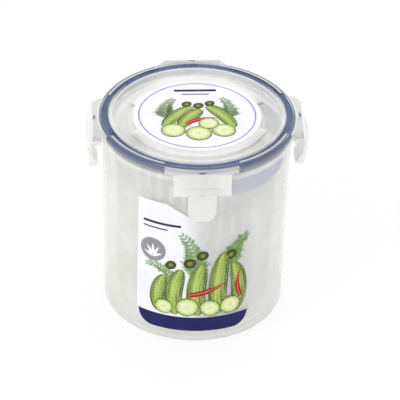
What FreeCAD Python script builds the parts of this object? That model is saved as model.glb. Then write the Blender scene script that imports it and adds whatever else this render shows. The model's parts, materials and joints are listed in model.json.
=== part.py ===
import FreeCAD, Part
import math
import os

# A round food keeper with a locking lid and, inside it, a strainer tray that lifts out by
# a bail handle. Millimetres, +Z up, the centre of the base at the origin, front flap at -Y.

# The four locking flaps and the directions that they face, in degrees from +X
FLAPS = {"right": 0, "back": 90, "left": 180, "front": 270}

# Container
bottom_r = 46.8           # outer radius that the wall reaches at the base
top_r = 48.9              # outer radius just under the flange
wall = 1.6
base_thickness = 2.0
foot_rise = 0.8           # hollow under the base, inside the foot ring
foot_width = 3.0
corner_r = 4.5            # rounding between wall and base
flange_top = 107.2
flange_thickness = 1.5
flange_reach = 1.9        # how far the flange stands out from the wall
lip_drop = 3.2            # the flange's turned-down lip, from its top face
lip_thickness = 1.0
neck_height = 3.0         # the lip that enters the lid, above the flange
neck_inset = 0.6          # the neck's outside is this far inside the wall's
neck_wall = 1.4
bore_step = 1.0           # height of the step between the bores of wall and neck
lug_reach = 0.2           # the faces of the flat latch lugs stand out this far from the lip
lug_half_width = 12.5
lug_height = 2.6

# Clearances
seat_gap = 0.3            # between lid and container, all round
seal_gap = 0.15           # between the seal and the sides of its channel
hook_gap = 0.3            # between a flap's hook and the underside of its lug
tongue_gap = 0.3          # between the tongue's curled end and the lug's face, as the lid lifts
hinge_gap = 0.3           # along each flap's hinge line
pin_gap = 0.2             # round the handle's pins
boss_gap = 0.3            # between the tray's collar and the handle's bosses and pin heads
handle_gap = 1.5          # between the folded handle and the neck's bore
tray_headroom = 3.5       # between the tray's rim and the lid's plug
label_gap = 0.12

# Seal ring
seal_inner_leg = 1.25
seal_outer_leg = 1.3
seal_web = 1.3
seal_leg_drop = 3.8

# Lid
top_web = 1.0
skirt_wall = 1.4
plug_wall = 1.5
plug_depth = 6.3          # from the lid's top to the bottom of the plug
gutter_depth = 3.0
gutter_width = 5.9        # between the rim and the raised panel
panel_depth = 0.9         # the panel's top below the rim's
panel_wall = 1.2
notch_depth = 4.0         # the panel is narrower at its two finger notches
notch_half_angle = 21.0
rim_round = 1.8
rim_inner_round = 0.7
gutter_round = 0.8
panel_round = 0.45

# Lid hinges and flaps
recess_depth = 0.6        # the rim is thinner behind each flap
recess_half_angle = 22.4
shelf_reach = 2.3         # from the rim to the hinge line's inner edge
shelf_thickness = 1.7
shelf_drop = 1.1          # below the lid's top
shelf_end_slant = 4.7     # the shelf is narrower by this much at each end of the hinge line
shelf_round = 0.6
hinge_roll_r = 0.65
hinge_sink = 0.2          # the roll's top lies this far below the shelf's
plate_half_width = 14.7
plate_height = 11.0
plate_thickness = 1.4
plate_flare = 1.4         # the plate leans outwards by this much at its lower edge
knee_drop = 3.0           # the leaning face starts this far below the hinge line
knee_round = 3.0
bar_half_width = 9.0
bar_height = 2.1
bar_reach = 1.0           # bowed finger bar, outwards from the plate at its middle
bar_rise = 1.4            # the bar's top above the hook's
tongue_half_width = 7.3   # also the radius of its rounded end
tongue_length = 17.0
tongue_bend = 6.8         # the tongue's inner face turns in this far below the plate
tongue_round = 6.0
lip_curl = 4.5            # thickness of the tongue's curled end
curl_height = 4.5
curl_round = 1.8
hook_height = 2.4
hook_bite = 1.2           # overlap of hook and lug
hook_half_width = 11.0
hook_slope = 0.6          # the hook is thicker at its root by this much

# Strainer tray
foot_height = 4.8         # the tray's floor stands this far above the container's
tray_floor = 1.4
tray_wall = 1.3
tray_taper = 1.2          # the basket's radius grows by this much from floor to waist
collar_step = 1.4         # the collar stands out this far from the basket
collar_height = 18.5
collar_rise = 2.5
rim_bead = 0.5            # the rim is thicker inside by this much
rim_bead_height = 2.0
foot_inset = 5.8          # from the basket's outside to the foot ring's
foot_ring_wall = 1.6
foot_gap = 12.0
foot_count = 6
slot_count = 36
slot_width = 2.4
slot_low_edge = 7.4       # plain wall under the lowest row
slot_high_edge = 8.0      # plain wall over the highest row
slot_row_gap = 5.0
slot_row_count = 2
collar_slot_height = 9.0
pivot_clear_angle = 12.0  # no collar slot is nearer than this to a pivot
floor_slot_width = 2.4
floor_hub_r = 6.0         # plain middle of the floor
floor_land_r = 15.0       # the inner ring of floor slots ends here
floor_slot_land = 4.0     # between the two rings of floor slots
floor_slot_margin = 2.6   # from the outer floor slots to the foot ring
inner_floor_count = 10
outer_floor_count = 20

# Bail handle, folded down to one side
pivot_turn = -70.0        # direction of one pivot, in degrees from +X
pivot_drop = 7.5          # the pivots lie this far below the tray's rim
strap_gap = 1.1           # from the collar to the inside of the strap
strap_thickness = 1.7
strap_end_half = 5.0
strap_grip_half = 6.75
grip_half_length = 20.0
grip_round = 120.0        # easing between the grip and the tapering arms
boss_r = 3.6
pin_r = 2.3
pin_head_r = 3.0
pin_head = 0.9

# Labels
label_thickness = 0.2
lid_label_margin = 0.7    # between the label and the panel's narrowest edge
front_label_low = 8.6
front_label_drop = 16.0   # from the flange's lip to the label's top
front_label_half_width = 29.1
front_label_turn = -93.5  # direction that the label's middle faces, in degrees from +X
front_label_corner_r = 9.0
tongue_clear = 2.9        # the label's cut-out ends this far below the front flap's tongue
label_notch_half = 17.5   # the cut-out's half width at the label's top
label_notch_floor = 3.2   # and along its lower edge
label_notch_round = 10.0

# Roundings of moulded edges, and how far a fused feature runs into what carries it
edge_round = 0.5
small_round = 0.3
root = 0.5

# Heights and radii that follow from the sizes above
floor_z = foot_rise + base_thickness
neck_top = flange_top + neck_height
lip_low = flange_top - lip_drop
flange_r = top_r + flange_reach
lug_r = flange_r + lug_reach
neck_r = top_r - neck_inset
neck_bore_r = neck_r - neck_wall
web_low = neck_top + seat_gap + seal_web
lid_top = web_low + top_web
plug_low = lid_top - plug_depth
skirt_low = flange_top + seat_gap
seal_r = neck_r + seat_gap + seal_outer_leg
seal_bore_r = neck_bore_r - seat_gap - seal_inner_leg
skirt_bore_r = seal_r + seal_gap
rim_r = skirt_bore_r + skirt_wall
plug_r = seal_bore_r - seal_gap
plug_bore_r = plug_r - plug_wall
panel_r = plug_bore_r - gutter_width
notch_r = panel_r - notch_depth
recess_r = rim_r - recess_depth
shelf_top = lid_top - shelf_drop
shelf_r = rim_r + shelf_reach
hinge_r = shelf_r + hinge_gap + hinge_roll_r
hinge_z = shelf_top - hinge_sink - hinge_roll_r
strap_out_r = neck_bore_r - handle_gap
strap_in_r = strap_out_r - strap_thickness
collar_r = strap_in_r - strap_gap
collar_top = plug_low - tray_headroom
collar_low = collar_top - collar_height
pivot_z = collar_top - pivot_drop
tray_floor_z = floor_z + foot_height
waist_r = collar_r - collar_step
waist_z = collar_low - collar_rise
basket_r = waist_r - tray_taper
foot_ring_r = basket_r - foot_inset
plate_low = hinge_z - plate_height
tongue_low = plate_low - tongue_length
front_label_high = lip_low - front_label_drop


def flat_point(u, v):
    return FreeCAD.Vector(u, v, 0)


def unit(vector):
    return vector * (1.0 / vector.Length)


def rounded_face(corners, place):
    """A flat face from corners (u, v) or (u, v, radius), each rounded by its radius."""
    count = len(corners)
    points = [flat_point(corner[0], corner[1]) for corner in corners]
    radii = [corner[2] if len(corner) > 2 else 0.0 for corner in corners]
    ends = []
    for i in range(count):
        point, radius = points[i], radii[i]
        if radius == 0.0:
            ends.append((point, None, point))
            continue
        before = unit(points[i - 1] - point)
        after = unit(points[(i + 1) % count] - point)
        half = math.acos(max(-1.0, min(1.0, before.dot(after)))) / 2
        inward = unit(before + after)
        centre = point + inward * (radius / math.sin(half))
        reach = radius / math.tan(half)
        ends.append((point + before * reach, centre - inward * radius, point + after * reach))
    edges = []
    for i in range(count):
        start, middle, stop = ends[i]
        if middle is not None:
            edges.append(Part.Arc(place(start), place(middle), place(stop)).toShape())
        following = ends[(i + 1) % count][0]
        if (following - stop).Length > 1e-6:
            edges.append(Part.LineSegment(place(stop), place(following)).toShape())
    return Part.Face(Part.Wire(edges))


def turned(corners):
    """A body of revolution from a section in radius and height."""
    face = rounded_face(corners, lambda p: FreeCAD.Vector(p.x, 0, p.y))
    return face.revolve(FreeCAD.Vector(0, 0, 0), FreeCAD.Vector(0, 0, 1), 360)


def radial_bar(corners, half_width):
    """A straight bar on the +X side from a section in radius and height."""
    face = rounded_face(corners, lambda p: FreeCAD.Vector(p.x, -half_width, p.y))
    return face.extrude(FreeCAD.Vector(0, 2 * half_width, 0))


def slab(corners, low, high):
    """A flat plate from its outline seen from above."""
    face = rounded_face(corners, lambda p: FreeCAD.Vector(p.x, p.y, low))
    return face.extrude(FreeCAD.Vector(0, 0, high - low))


def cylinder(radius, low, high):
    return Part.makeCylinder(radius, high - low, FreeCAD.Vector(0, 0, low))


def ring(inner, outer, low, high):
    return cylinder(outer, low, high).cut(cylinder(inner, low, high))


def radial_box(inner, outer, width, low, high):
    return Part.makeBox(outer - inner, width, high - low, FreeCAD.Vector(inner, -width / 2, low))


def round_z(shape, angle):
    """A copy turned about the vertical axis."""
    copy = shape.copy()
    copy.rotate(FreeCAD.Vector(0, 0, 0), FreeCAD.Vector(0, 0, 1), angle)
    return copy


def ring_of(shape, count, start=0.0):
    """Copies evenly spaced about the vertical axis."""
    return [round_z(shape, start + 360.0 * i / count) for i in range(count)]


def on_circle(radius, angle):
    return FreeCAD.Vector(radius * math.cos(angle), radius * math.sin(angle), 0)


def arc(radius, first, last):
    middle = on_circle(radius, (first + last) / 2)
    return Part.Arc(on_circle(radius, first), middle, on_circle(radius, last)).toShape()


def wall_radius(z):
    """The container's outer radius at a height."""
    return bottom_r + (top_r - bottom_r) * z / flange_top


def container_body():
    """Tapered wall, foot ring, flange with a turned-down lip, neck and four latch lugs."""
    flange_low = flange_top - flange_thickness
    foot_in_r = bottom_r - corner_r - foot_width
    step_low = flange_low - bore_step
    shell = turned([
        (0, foot_rise),
        (foot_in_r - foot_rise, foot_rise),
        (foot_in_r, 0),
        (bottom_r, 0, corner_r),
        (wall_radius(flange_low), flange_low),
        (flange_r - lip_thickness, flange_low),
        (flange_r - lip_thickness, lip_low),
        (flange_r, lip_low),
        (flange_r, flange_top, edge_round),
        (neck_r, flange_top),
        (neck_r, neck_top, edge_round),
        (neck_bore_r, neck_top, edge_round),
        (neck_bore_r, flange_low),
        (wall_radius(step_low) - wall, step_low),
        (wall_radius(floor_z) - wall, floor_z, corner_r - wall),
        (0, floor_z),
    ])
    lug_root = wall_radius(lip_low) - wall / 2
    lug_top = lip_low + lug_height
    lug = radial_bar([
        (lug_root, lip_low),
        (lug_r, lip_low, small_round),
        (lug_r, lip_low + lug_height / 2, small_round),
        (flange_r - small_round, lug_top),
        (lug_root, lug_top),
    ], lug_half_width)
    return shell.multiFuse([round_z(lug, turn) for turn in FLAPS.values()]).removeSplitter()


def seal_ring():
    """Silicone ring: a web with two legs that straddle the container's neck."""
    groove_top = neck_top + seat_gap
    leg_low = web_low - seal_leg_drop
    return turned([
        (seal_bore_r, web_low),
        (seal_bore_r, leg_low, small_round),
        (neck_bore_r - seat_gap, leg_low, small_round),
        (neck_bore_r - seat_gap, groove_top),
        (neck_r + seat_gap, groove_top),
        (neck_r + seat_gap, leg_low),
        (seal_r, leg_low),
        (seal_r, web_low),
    ])


def panel_outline(shrink, z):
    """The raised panel from above: a disc with a finger notch at each side."""
    wide, narrow = panel_r - shrink, notch_r - shrink
    half = math.radians(notch_half_angle)
    edges = []
    for side in (0, math.pi):
        first, last = side + half, side + math.pi - half
        end = last + 2 * half
        edges.append(arc(wide, first, last))
        edges.append(Part.LineSegment(on_circle(wide, last), on_circle(narrow, last)).toShape())
        edges.append(arc(narrow, last, end))
        edges.append(Part.LineSegment(on_circle(narrow, end), on_circle(wide, end)).toShape())
    face = Part.Face(Part.Wire(edges))
    face.translate(FreeCAD.Vector(0, 0, z))
    return face


def hinge_recess():
    """What is cut from the rim on the +X side, behind a flap."""
    reach = rim_r + shelf_reach
    low, high = skirt_low - 1, lid_top + 1
    side = 2 * reach * math.tan(math.radians(recess_half_angle))
    wedge = slab([(0, 0), (2 * reach, -side), (2 * reach, side)], low, high)
    return ring(recess_r, reach, low, high).common(wedge)


def hinge_shelf():
    """Shelf on the +X side of the rim, whose outer edge the flap hinges on."""
    corner = on_circle(rim_r, math.radians(recess_half_angle))
    back, half = corner.x - 2 * recess_depth, corner.y
    shelf = slab([
        (back, -half),
        (corner.x, -half),
        (shelf_r, shelf_end_slant - half, edge_round),
        (shelf_r, half - shelf_end_slant, edge_round),
        (corner.x, half),
        (back, half),
    ], shelf_top - shelf_thickness, shelf_top)
    brow = [e for e in shelf.Edges if e.BoundBox.XMin > shelf_r - 0.001
            and e.BoundBox.ZMin > shelf_top - 0.001]
    return shelf.makeFillet(shelf_round, brow).cut(cylinder(recess_r - root, 0, lid_top))


def lid_panel():
    """Rim with its seal channel, sunk gutter, raised panel and four hinge shelves."""
    gutter_z = lid_top - gutter_depth
    gutter_low = gutter_z - panel_wall
    panel_z = lid_top - panel_depth
    shell = turned([
        (0, gutter_low),
        (plug_bore_r, gutter_low),
        (plug_bore_r, plug_low),
        (plug_r, plug_low, edge_round),
        (plug_r, web_low),
        (skirt_bore_r, web_low),
        (skirt_bore_r, skirt_low),
        (rim_r, skirt_low, small_round),
        (rim_r, lid_top, rim_round),
        (plug_bore_r, lid_top, rim_inner_round),
        (plug_bore_r, gutter_z, gutter_round),
        (0, gutter_z),
    ])
    block = panel_outline(0, gutter_low).extrude(FreeCAD.Vector(0, 0, panel_z - gutter_low))
    block = block.makeFillet(panel_round, [e for e in block.Edges if e.BoundBox.ZMin > panel_z - 0.001])
    depth = panel_z - panel_wall - gutter_low
    hollow = panel_outline(panel_wall, gutter_low - 1).extrude(FreeCAD.Vector(0, 0, depth + 1))
    shell = shell.fuse(block).cut(hollow)
    recess, shelf = hinge_recess(), hinge_shelf()
    shell = shell.cut([round_z(recess, turn) for turn in FLAPS.values()])
    return shell.multiFuse([round_z(shelf, turn) for turn in FLAPS.values()]).removeSplitter()


def flap():
    """Locking flap on the +X side: hinge roll, plate, finger bar, tongue and inner hook."""
    lean = plate_flare / plate_height
    face_in = hinge_r - hinge_roll_r
    foot_in = face_in + plate_flare
    foot_out = foot_in + plate_thickness
    knee_in = face_in + lean * knee_drop
    knee_z = hinge_z - knee_drop
    plate = radial_bar([
        (face_in, hinge_z),
        (knee_in, knee_z),
        (foot_in, plate_low, small_round),
        (foot_out, plate_low, small_round),
        (knee_in + plate_thickness, knee_z, knee_round),
        (hinge_r + hinge_roll_r, hinge_z),
    ], plate_half_width)
    roll = Part.makeCylinder(hinge_roll_r, 2 * plate_half_width,
                             FreeCAD.Vector(hinge_r, -plate_half_width, hinge_z),
                             FreeCAD.Vector(0, 1, 0))
    hook_top = lip_low - hook_gap
    hook_low = hook_top - hook_height
    hook_tip = lug_r - hook_bite
    bar_out = foot_out + bar_reach
    bow_r = (bar_half_width ** 2 + bar_reach ** 2) / (2 * bar_reach)
    bow_in = bow_r - 3 * bar_reach
    bar = turned([
        (bow_in, hook_top - bar_height),
        (bow_r, hook_top - bar_height, edge_round),
        (bow_r, hook_top + bar_rise / 2, edge_round),
        (bow_in, hook_top + bar_rise),
    ])
    bar.translate(FreeCAD.Vector(bar_out - bow_r, 0, 0))
    bar = bar.common(radial_box(foot_in, bar_out, 2 * bar_half_width, plate_low, hinge_z))
    hook = radial_bar([
        (foot_in + root, hook_low - hook_slope),
        (hook_tip + hook_slope, hook_low, small_round),
        (hook_tip, hook_low + hook_slope, small_round),
        (hook_tip, hook_top, edge_round),
        (foot_in, hook_top),
    ], hook_half_width)
    tip_in = lug_r + tongue_gap
    tip_out = tip_in + lip_curl
    tongue_top = plate_low + root
    tongue_out = foot_out + small_round
    tongue = radial_bar([
        (foot_in + small_round, tongue_top),
        (foot_in - small_round, plate_low - tongue_bend, tongue_round),
        (tip_in, tongue_low + curl_height - 1, edge_round),
        (tip_in, tongue_low, curl_round - small_round),
        (tip_out, tongue_low, curl_round),
        (tip_out, tongue_low + curl_height, tongue_round),
        (tongue_out, plate_low - edge_round, edge_round),
        (tongue_out, tongue_top, small_round),
    ], tongue_half_width)
    tongue_front = rounded_face([
        (-tongue_half_width, tongue_low, tongue_half_width),
        (tongue_half_width, tongue_low, tongue_half_width),
        (tongue_half_width, hinge_z),
        (-tongue_half_width, hinge_z),
    ], lambda p: FreeCAD.Vector(0, p.x, p.y))
    tongue = tongue.common(tongue_front.extrude(FreeCAD.Vector(2 * rim_r, 0, 0)))
    return plate.multiFuse([roll, bar, hook, tongue]).removeSplitter()


def basket_shell():
    """The tray's turned form: floor, tapering basket, waist and collar with a beaded rim."""
    collar_in = collar_r - tray_wall
    bead_in = collar_in - rim_bead
    bead_low = collar_top - rim_bead_height
    return turned([
        (0, tray_floor_z),
        (basket_r, tray_floor_z, 2 * tray_floor),
        (waist_r, waist_z, collar_step / 2),
        (collar_r, collar_low, collar_step / 2),
        (collar_r, collar_top, edge_round),
        (bead_in, collar_top, edge_round),
        (bead_in, bead_low),
        (collar_in, bead_low - 2 * rim_bead),
        (collar_in, collar_low, collar_step / 2),
        (waist_r - tray_wall, waist_z, collar_step / 2),
        (basket_r - tray_wall, tray_floor_z + tray_floor, tray_floor),
        (0, tray_floor_z + tray_floor),
    ])


def tray_foot():
    """Ring with drain gaps, on which the tray stands."""
    inner = foot_ring_r - foot_ring_wall
    foot = ring(inner, foot_ring_r, floor_z, tray_floor_z + root)
    gap = radial_box(inner - root, foot_ring_r + root, foot_gap, floor_z, tray_floor_z)
    return foot.cut(ring_of(gap, foot_count))


def tray_cuts():
    """Slots of the basket, collar and floor, and the hole through which both pins pass."""
    cuts = []
    reach = 2 * tray_wall
    step = 360.0 / slot_count
    first = tray_floor_z + slot_low_edge
    rows_height = waist_z - slot_high_edge - first + slot_row_gap
    pitch = rows_height / slot_row_count
    for row in range(slot_row_count):
        low = first + row * pitch
        slot = radial_box(basket_r - reach, waist_r + reach, slot_width, low, low + pitch - slot_row_gap)
        cuts += ring_of(slot, slot_count, step / 2)
    middle = (collar_low + collar_top) / 2
    slot = radial_box(collar_r - reach, collar_r + reach, slot_width,
                      middle - collar_slot_height / 2, middle + collar_slot_height / 2)
    for i in range(slot_count):
        angle = (i + 0.5) * step
        off_pivot = min(angle % 180, 180 - angle % 180)
        if off_pivot > pivot_clear_angle:
            cuts.append(round_z(slot, angle))
    low, high = tray_floor_z - root, tray_floor_z + tray_floor + root
    slot = radial_box(floor_hub_r, floor_land_r, floor_slot_width, low, high)
    cuts += ring_of(slot, inner_floor_count)
    outer = foot_ring_r - foot_ring_wall - floor_slot_margin
    slot = radial_box(floor_land_r + floor_slot_land, outer, floor_slot_width, low, high)
    cuts += ring_of(slot, outer_floor_count)
    cuts.append(Part.makeCylinder(pin_r + pin_gap, 2 * collar_r,
                                  FreeCAD.Vector(-collar_r, 0, pivot_z), FreeCAD.Vector(1, 0, 0)))
    return cuts


def strainer_tray():
    """Slotted basket with a collar, pierced floor, foot ring and pivot holes."""
    return round_z(basket_shell().fuse(tray_foot()).cut(tray_cuts()), pivot_turn)


def tray_handle():
    """Bail handle folded to one side: a strap wider at the grip, with snap-in pins."""
    far = strap_out_r + 1
    hoop = ring(strap_in_r, strap_out_r, pivot_z - strap_grip_half - 1, pivot_z + strap_grip_half + 1)
    side_view = rounded_face([
        (-far, -strap_end_half),
        (-grip_half_length, -strap_grip_half, grip_round),
        (grip_half_length, -strap_grip_half, grip_round),
        (far, -strap_end_half),
        (far, strap_end_half),
        (grip_half_length, strap_grip_half, grip_round),
        (-grip_half_length, strap_grip_half, grip_round),
        (-far, strap_end_half),
    ], lambda p: FreeCAD.Vector(p.x, 0, pivot_z + p.y))
    along = FreeCAD.Vector(1, 0, 0)
    strap = side_view.extrude(FreeCAD.Vector(0, far, 0)).common(hoop)
    ends = Part.makeCylinder(strap_end_half, 2 * far, FreeCAD.Vector(-far, 0, pivot_z), along)
    boss_in = collar_r + boss_gap
    pin_in = collar_r - tray_wall - boss_gap - pin_head
    pieces = [ends.common(hoop)]
    for side in (-1, 1):
        for radius, start, stop in ((boss_r, boss_in, strap_in_r + root),
                                    (pin_r, pin_in, strap_in_r),
                                    (pin_head_r, pin_in, pin_in + pin_head)):
            pieces.append(Part.makeCylinder(radius, stop - start,
                                            FreeCAD.Vector(side * start, 0, pivot_z), along * side))
    return round_z(strap.multiFuse(pieces).removeSplitter(), pivot_turn)


def lid_label():
    """Round label on the lid's raised panel."""
    low = lid_top - panel_depth
    return cylinder(notch_r - lid_label_margin, low, low + label_thickness)


def front_label():
    """Label round the front of the wall, cut away round the front flap's tongue."""
    inner, outer = label_gap, label_gap + label_thickness
    low, high = front_label_low, front_label_high
    band = turned([
        (wall_radius(low) + inner, low),
        (wall_radius(low) + outer, low),
        (wall_radius(high) + outer, high),
        (wall_radius(high) + inner, high),
    ])
    half = front_label_half_width
    outline = rounded_face([
        (-half, low, front_label_corner_r),
        (half, low, front_label_corner_r),
        (half, high, 1.0),
        (-half, high, 1.0),
    ], lambda p: FreeCAD.Vector(0, p.x, p.y))
    label = round_z(outline.extrude(FreeCAD.Vector(2 * top_r, 0, 0)).common(band), front_label_turn)
    notch_low = tongue_low - tongue_clear
    notch = rounded_face([
        (-label_notch_half, high),
        (-label_notch_floor, notch_low, label_notch_round),
        (label_notch_floor, notch_low, label_notch_round),
        (label_notch_half, high),
        (label_notch_half, lid_top),
        (-label_notch_half, lid_top),
    ], lambda p: FreeCAD.Vector(p.x, 0, p.y))
    return label.cut(notch.extrude(FreeCAD.Vector(0, -2 * top_r, 0)))


def main():
    os.makedirs("parts", exist_ok=True)
    pieces = {
        "container_body": container_body(),
        "front_label": front_label(),
        "lid_panel": lid_panel(),
        "seal_ring": seal_ring(),
        "lid_label": lid_label(),
        "strainer_tray": strainer_tray(),
        "tray_handle": tray_handle(),
    }
    latch = flap()
    for side, turn in FLAPS.items():
        pieces["flap_" + side] = round_z(latch, turn)
    for node, shape in pieces.items():
        box = shape.BoundBox
        print(node, shape.isValid(), len(shape.Solids), round(shape.Volume), "z",
              round(box.ZMin, 2), round(box.ZMax, 2), "x", round(box.XMin, 2), round(box.XMax, 2))
        shape.exportStep("parts/" + node + ".step")


main()
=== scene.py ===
import bpy
import bmesh
import json
import math
from mathutils import Matrix, Vector


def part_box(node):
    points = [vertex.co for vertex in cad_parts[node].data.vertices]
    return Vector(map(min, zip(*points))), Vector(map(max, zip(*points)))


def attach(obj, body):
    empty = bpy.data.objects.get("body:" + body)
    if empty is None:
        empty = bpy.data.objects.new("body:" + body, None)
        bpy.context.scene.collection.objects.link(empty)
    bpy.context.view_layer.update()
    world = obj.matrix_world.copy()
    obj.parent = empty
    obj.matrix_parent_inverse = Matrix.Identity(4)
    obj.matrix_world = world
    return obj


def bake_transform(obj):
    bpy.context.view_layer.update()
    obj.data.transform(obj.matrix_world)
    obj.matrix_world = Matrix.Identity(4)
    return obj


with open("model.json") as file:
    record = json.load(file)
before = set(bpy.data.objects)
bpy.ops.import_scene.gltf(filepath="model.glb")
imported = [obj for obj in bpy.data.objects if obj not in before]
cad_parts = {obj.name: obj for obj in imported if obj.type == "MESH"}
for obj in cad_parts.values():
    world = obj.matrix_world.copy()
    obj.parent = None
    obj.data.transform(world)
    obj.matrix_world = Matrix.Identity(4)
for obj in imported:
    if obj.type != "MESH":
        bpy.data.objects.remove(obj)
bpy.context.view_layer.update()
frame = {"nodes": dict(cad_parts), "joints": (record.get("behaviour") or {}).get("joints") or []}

# Container: a deep round tub of random-copolymer polypropylene, injection moulded in one shot with a
# polished outside. The wall is milky, faintly warm and lets what stands close behind it show through.
# Everything else stands in it or clips over its flange.
MM = 0.001
# The patterns' sizes in millimetres. Real rub marks are about 0.2 mm wide, which is less than a pixel,
# so they are drawn as coarse as they need to show.
CLOUD_SIZE, RUB_SIZE, WAVE_SIZE, WAVE_DEPTH = 16, 2.5, 9, 0.3
BASE_LOW, BASE_HIGH, BASE_SHADE = 1.0, 9.0, 0.5
MOUTH_LOW, MOUTH_HIGH = 76.0, 88.0
TUB_HAZE, MOUTH_HAZE = 0.42, 0.33


def linear(hex_colour):
    """An sRGB hex colour as linear red, green, blue and alpha."""
    parts = [int(hex_colour[i:i + 2], 16) / 255 for i in (1, 3, 5)]
    return [c / 12.92 if c <= 0.04045 else ((c + 0.055) / 1.055) ** 2.4 for c in parts] + [1.0]


def add(tree, kind, settings=None, links=None):
    """Adds a node, sets its properties, colour stops and inputs, and links sockets into it."""
    node = tree.nodes.new(kind)
    for name, value in (settings or {}).items():
        if name == "stops":
            ramp = node.color_ramp.elements
            while len(ramp) < len(value):
                ramp.new(0.5)
            for stop, (position, colour) in zip(ramp, value):
                stop.position = position
                stop.color = linear(colour) if isinstance(colour, str) else (colour, colour, colour, 1)
        elif isinstance(name, str) and hasattr(node, name):
            setattr(node, name, value)
        else:
            node.inputs[name].default_value = value
    for name, socket in (links or {}).items():
        tree.links.new(socket, node.inputs[name])
    return node


def new_finish(name):
    """A new material, its node tree and its main shader."""
    material = bpy.data.materials.new(name)
    material.use_nodes = True
    return material, material.node_tree, material.node_tree.nodes["Principled BSDF"]


def moulded_plastic(name, pale, deep, rough, hide, shade=None):
    """Moulded plastic, rubber or film: soft clouds between two tints, faint flow waves and rub marks.
    hide is the share of light that one face stops, as a number or a function that gives it by place.
    shade is a third tint, a function that says where it shows, and the share that one face stops there."""
    material, tree, shader = new_finish(name)
    shader.inputs["IOR"].default_value = 1.49
    place = add(tree, "ShaderNodeTexCoord").outputs["Object"]
    clouds = add(tree, "ShaderNodeTexNoise", {"Scale": 1 / (CLOUD_SIZE * MM), "Detail": 3.0},
                 {"Vector": place})
    tint = add(tree, "ShaderNodeValToRGB", {"stops": [(0.35, deep), (0.65, pale)]}, {0: clouds.outputs[0]})
    colour = tint.outputs[0]
    rubs = add(tree, "ShaderNodeTexNoise", {"Scale": 1 / (RUB_SIZE * MM), "Detail": 5.0}, {"Vector": place})
    skin = add(tree, "ShaderNodeMapRange", {1: 0.3, 2: 0.7, 3: rough - 0.03, 4: rough + 0.04},
               {0: rubs.outputs[0]})
    tree.links.new(skin.outputs[0], shader.inputs["Roughness"])
    waves = add(tree, "ShaderNodeTexNoise", {"Scale": 1 / (WAVE_SIZE * MM), "Detail": 1.0}, {"Vector": place})
    bump = add(tree, "ShaderNodeBump", {"Strength": 0.08, "Distance": WAVE_DEPTH * MM},
               {"Height": waves.outputs[0]})
    tree.links.new(bump.outputs[0], shader.inputs["Normal"])
    level = add(tree, "ShaderNodeMapRange", {1: 0.3, 2: 0.7, 3: -0.03, 4: 0.03}, {0: clouds.outputs[0]})
    total = add(tree, "ShaderNodeMath", {"operation": "ADD", "use_clamp": True}, {0: level.outputs[0]})
    if callable(hide):
        tree.links.new(hide(tree, place), total.inputs[1])
    else:
        total.inputs[1].default_value = hide
    cover = total.outputs[0]
    if shade:
        third, where, stopped = shade
        spot = where(tree, place)
        colour = add(tree, "ShaderNodeMixRGB", {2: linear(third)}, {0: spot, 1: colour}).outputs[0]
        least = add(tree, "ShaderNodeMath", {"operation": "MULTIPLY", 1: stopped}, {0: spot})
        most = add(tree, "ShaderNodeMath", {"operation": "MAXIMUM"}, {0: least.outputs[0], 1: cover})
        cover = most.outputs[0]
    tree.links.new(colour, shader.inputs["Base Color"])
    tree.links.new(cover, shader.inputs["Alpha"])
    return material


def heights(tree, place, low, high, start, end):
    """A level that goes from start at one height in millimetres to end at the other."""
    parts = add(tree, "ShaderNodeSeparateXYZ", {}, {0: place})
    return add(tree, "ShaderNodeMapRange", {1: low * MM, 2: high * MM, 3: start, 4: end},
               {0: parts.outputs["Z"]}).outputs[0]


def painted_base_shade(tree, place):
    """Painted shade towards the foot: the corner and base, also thicker than the wall, are drawn darker."""
    return heights(tree, place, BASE_LOW, BASE_HIGH, BASE_SHADE, 0.0)


def tub_haze(tree, place):
    """How much the tub hides: its wall thins a little and gets clearer towards the mouth."""
    return heights(tree, place, MOUTH_LOW, MOUTH_HIGH, TUB_HAZE, MOUTH_HAZE)


def dress(node, material):
    """Gives a CAD node its finish."""
    mesh = frame["nodes"][node].data
    mesh.materials.clear()
    mesh.materials.append(material)


# Polished polypropylene shows as a warm, milky white, with painted shade greying it towards the thick base.
dress("container_body", moulded_plastic("polypropylene_tub", "#fdfdf9", "#fafaf4", 0.24, tub_haze,
                                        ("#b4b7b0", painted_base_shade, 0.5)))


# Label pictures: both labels are printed film. The prints here are thin meshes on the film: gherkins,
# cucumber slices, dill, chillies and plain bands, in greens, red, navy and grey. Each motif is drawn
# flat in label millimetres and then laid on the label.
LAYER = 0.012
MERGE = 0.0005
BLUNTNESS, STALK = 2.6, 0.12
INK_ROUGH, INK_GLOSS = 0.45, 0.2
HAIR_LENGTH, HAIR_WIDTH, SPINE_WIDTH = 0.34, 0.055, 0.045
HAIR_LEAN, TWIG_LEAN = 0.7, 0.75


class Print:
    """A flat print: points in label millimetres with their layer, faces and picture coordinates."""

    def __init__(self):
        self.points, self.faces, self.uvs = [], [], []

    def patch(self, outline, rows, columns, layer):
        """Adds a shape whose outline(s, t) gives a place for s across and t along, both 0 to 1."""
        first = len(self.points)
        for j in range(rows + 1):
            for i in range(columns + 1):
                s, t = i / columns, j / rows
                self.points.append((*outline(s, t), layer))
                self.uvs.append((s, t))
        for j in range(rows):
            for i in range(columns):
                a = first + j * (columns + 1) + i
                self.faces.append((a, a + 1, a + columns + 2, a + columns + 1))


def bow(points, t):
    """A place and a direction on the curve bent by three points."""
    start, middle, end = (Vector(p) for p in points)
    place = (1 - t) ** 2 * start + 2 * t * (1 - t) * middle + t * t * end
    return place, (2 * (1 - t) * (middle - start) + 2 * t * (end - middle)).normalized()


def along(points, half_width):
    """A shape along a bowed line, with two blunt ends like a gherkin's."""
    def outline(s, t):
        place, ahead = bow(points, t)
        half = half_width * (1 - abs(2 * t - 1) ** BLUNTNESS) ** 0.5
        side = Vector((ahead.y, -ahead.x))
        spot = place + side * half * (2 * s - 1)
        return spot.x, spot.y
    return outline


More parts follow.
